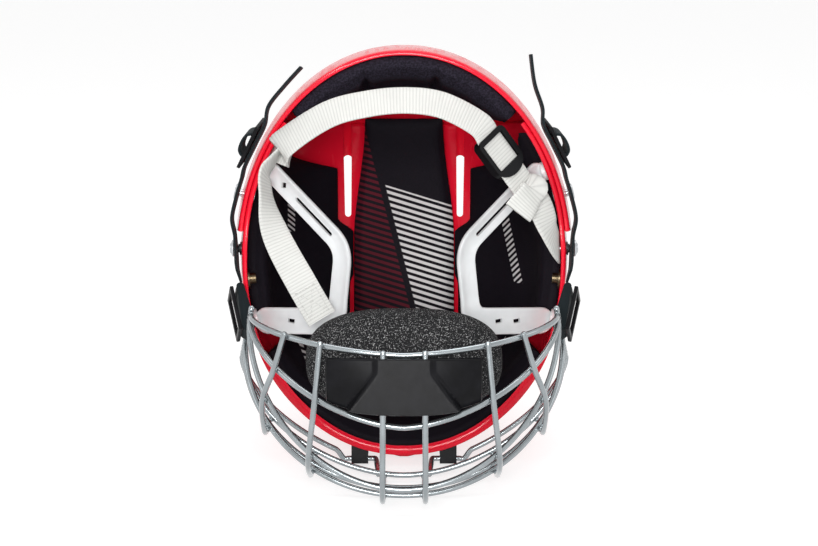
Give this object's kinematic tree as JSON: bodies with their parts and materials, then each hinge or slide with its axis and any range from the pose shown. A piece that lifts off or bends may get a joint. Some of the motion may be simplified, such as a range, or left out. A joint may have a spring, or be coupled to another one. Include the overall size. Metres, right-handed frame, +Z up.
{
  "type": "hockey helmet with wire cage",
  "caption": "Ice hockey helmet lying face down: two-piece sliding shell, foam liner, ear guards, hinged wire face cage with chin cup, side straps and a chin strap with slider.",
  "frame": {"origin": "on the floor under the middle of the helmet's box, as it lies face down on its forehead and cage", "axes": "+X to the wearer's right, +Z up towards the nape, +Y from the open underside towards the crown"},
  "size_m": [0.226, 0.2726, 0.2759],
  "materials": {
    "shell": "glossy moulded red",
    "liner": "matt black-violet foam",
    "guard_plastic": "milky white plastic",
    "cage_wire": "blue-grey coated wire",
    "cup_foam": "speckled charcoal foam",
    "black_plastic": "satin black",
    "white_web": "ribbed white webbing",
    "dark_web": "dark slate webbing",
    "brass": "plain",
    "steel": "plated"
  },
  "bodies": {
    "helmet": {"front_shell": "shell", "adjuster_screws": "steel", "adjuster_nuts": "steel", "brow_pad": "liner", "crown_pad": "liner", "side_pad_left": "liner", "side_pad_right": "liner", "ear_guard_left": "guard_plastic", "ear_guard_right": "guard_plastic", "ear_guard_screws": "steel", "visor_nut_left": "brass", "visor_nut_right": "brass", "strap_studs": "steel", "brow_clip_left": "black_plastic", "brow_clip_right": "black_plastic", "brow_clip_screws": "steel", "chin_strap": "white_web", "chin_strap_tail": "white_web", "chin_strap_leg": "white_web", "chin_strap_rivets": "steel"},
    "rear": {"rear_shell": "shell", "rear_pad": "liner"},
    "cage": {"cage_hinge_wire": "cage_wire", "cage_top_wire": "cage_wire", "cage_chin_wire": "cage_wire", "cage_jaw_wire": "cage_wire", "cage_mouth_wire": "cage_wire", "cage_nose_wire": "cage_wire", "cage_cheek_wire": "cage_wire", "cage_eye_wire": "cage_wire", "cage_centre_bars": "cage_wire", "cage_inner_bars": "cage_wire", "cage_outer_bars": "cage_wire", "cage_side_posts": "cage_wire", "chin_cup_foam": "cup_foam", "chin_cup_bracket": "black_plastic"},
    "strap_left": {"side_sleeve_left": "dark_web", "side_strap_left": "dark_web", "side_fold_left": "dark_web", "side_buckle_left": "black_plastic", "side_loop_left": "black_plastic", "strap_snap_left": "steel"},
    "strap_right": {"side_sleeve_right": "dark_web", "side_strap_right": "dark_web", "side_fold_right": "dark_web", "side_buckle_right": "black_plastic", "side_loop_right": "black_plastic", "strap_snap_right": "steel"},
    "slider": {"strap_slider": "black_plastic"}
  },
  "joints": [
    {"name": "rear_shell_slide", "type": "slide", "parent": "helmet", "child": "rear", "axis": [0, 0.2172, 0.9761], "range_m": [0, 0.01]},
    {"name": "cage_hinge", "type": "hinge", "parent": "helmet", "child": "cage", "pos_m": [0, -0.00802, 0.00462], "axis": [1, 0, 0], "range_deg": [0, 85]},
    {"name": "right_strap_swing", "type": "hinge", "parent": "cage", "child": "strap_right", "pos_m": [0.09852, -0.04191, 0.10326], "axis": [0.1446, 0.7607, -0.6329], "range_deg": [0, 30]},
    {"name": "left_strap_swing", "type": "hinge", "parent": "cage", "child": "strap_left", "pos_m": [-0.09852, -0.04191, 0.10326], "axis": [0.1446, -0.7607, 0.6329], "range_deg": [0, 30]},
    {"name": "slider_slide", "type": "slide", "parent": "helmet", "child": "slider", "axis": [0.5883, 0.0211, -0.8083], "range_m": [-0.006, 0.002]}
  ]
}
